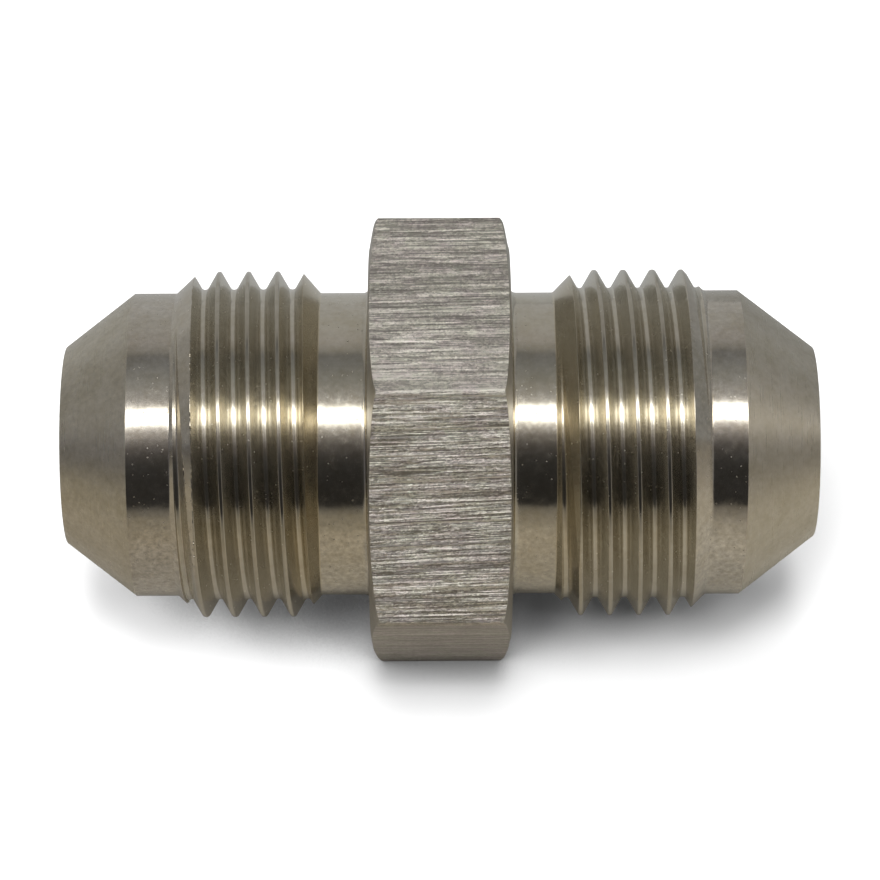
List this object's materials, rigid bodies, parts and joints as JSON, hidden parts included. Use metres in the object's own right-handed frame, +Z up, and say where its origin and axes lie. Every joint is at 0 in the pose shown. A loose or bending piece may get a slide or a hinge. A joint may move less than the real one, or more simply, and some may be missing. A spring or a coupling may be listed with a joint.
{
  "type": "union adapter",
  "caption": "Double-ended male union: a 37 degree flare cone and a straight thread at each end, a wrench hexagon in the middle and a bore straight through.",
  "frame": {"origin": "centre of the bounding box: on the bore axis, midway between the two nose faces", "axes": "+X along the bore axis, +Z up with the part lying on one flat of its hexagon, +Y along the hexagon's wide diagonal"},
  "size_m": [0.0406, 0.0254, 0.0222],
  "materials": {
    "plated_metal": "nickel-toned plating: bright turned faces, satin cones, streaked drawn flats"
  },
  "bodies": {
    "root": {"union_body": "plated_metal"}
  },
  "joints": []
}
